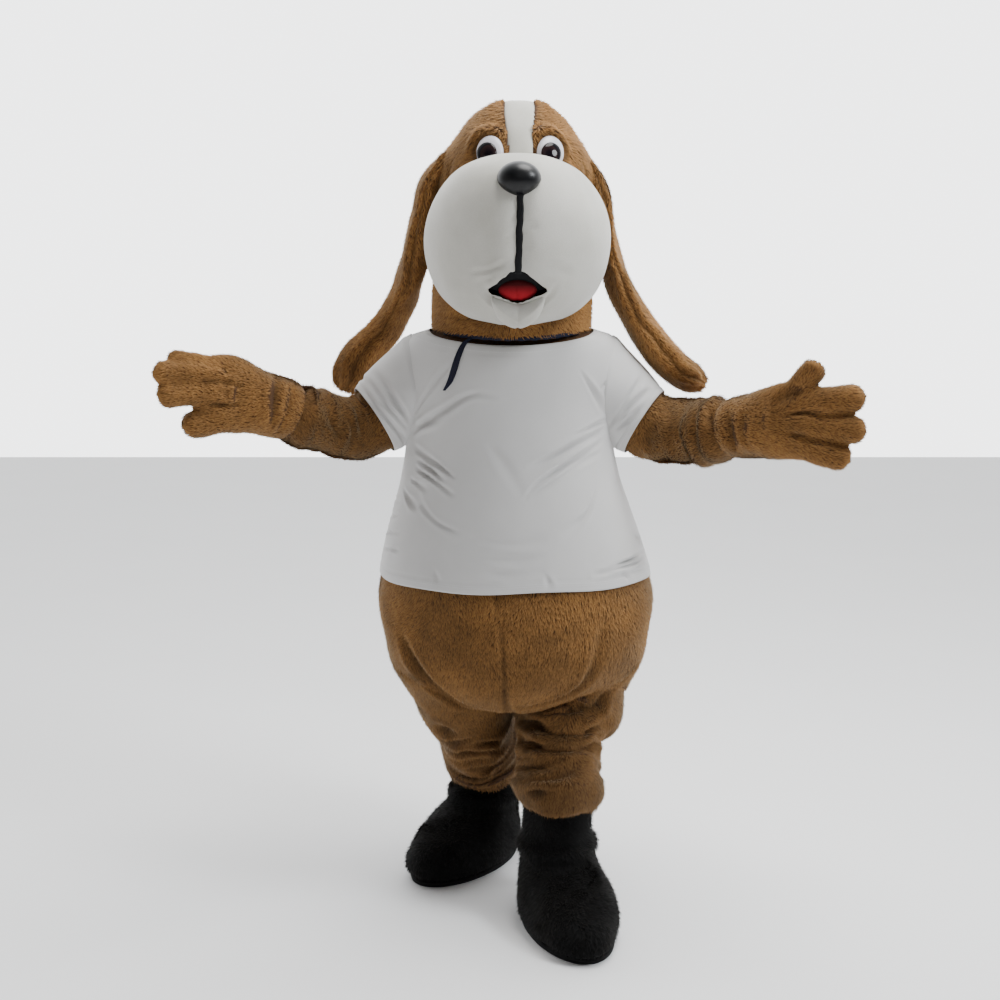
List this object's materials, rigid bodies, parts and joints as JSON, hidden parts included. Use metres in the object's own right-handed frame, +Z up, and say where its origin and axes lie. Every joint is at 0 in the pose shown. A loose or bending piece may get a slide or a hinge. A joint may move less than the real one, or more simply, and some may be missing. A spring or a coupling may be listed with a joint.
{
  "type": "dog mascot costume",
  "caption": "Hollow plush dog mascot costume, worn pose: body suit, white T-shirt, big-muzzled head with hanging ears, gloves and boots.",
  "frame": {"origin": "between the wearer's shoulders, at shoulder height on the body suit's axis, 1.330 m above the soles", "axes": "+Z up, -Y the way the dog faces, +X towards the dog's left"},
  "size_m": [1.5113, 0.688, 1.882],
  "materials": {
    "brown_plush": "long shaggy pile, mid brown",
    "white_plush": "short soft pile, off white",
    "white_jersey": "plain cotton jersey, white",
    "black_plush": "short dense pile, black",
    "black_felt": "matt black felt",
    "red_felt": "matt red felt",
    "navy_tape": "woven navy tape",
    "gloss_black": "glossy black moulding",
    "eye_white": "glossy white",
    "iris_brown": "glossy dark brown",
    "sole_rubber": "flat dark rubber"
  },
  "bodies": {
    "root": {"boot_left": "black_plush", "boot_right": "black_plush", "boot_sole_left": "sole_rubber", "boot_sole_right": "sole_rubber", "chin": "white_plush", "ear_inner_left": "brown_plush", "ear_inner_right": "brown_plush", "ear_outer_left": "brown_plush", "ear_outer_right": "brown_plush", "eye_iris_left": "iris_brown", "eye_iris_right": "iris_brown", "eye_white_left": "eye_white", "eye_white_right": "eye_white", "glove_left": "brown_plush", "glove_right": "brown_plush", "head_blaze": "white_plush", "head_left": "brown_plush", "head_right": "brown_plush", "mouth_line": "black_felt", "mouth_lining": "black_felt", "muzzle_left": "white_plush", "muzzle_right": "white_plush", "neck_tape": "navy_tape", "neck_tape_end": "navy_tape", "nose": "gloss_black", "suit_back_left": "brown_plush", "suit_back_right": "brown_plush", "suit_front_left": "brown_plush", "suit_front_right": "brown_plush", "suit_leg_left": "brown_plush", "suit_leg_right": "brown_plush", "suit_sleeve_left": "brown_plush", "suit_sleeve_right": "brown_plush", "tongue": "red_felt", "tshirt_back": "white_jersey", "tshirt_front": "white_jersey", "tshirt_sleeve_left": "white_jersey", "tshirt_sleeve_right": "white_jersey"}
  },
  "joints": []
}
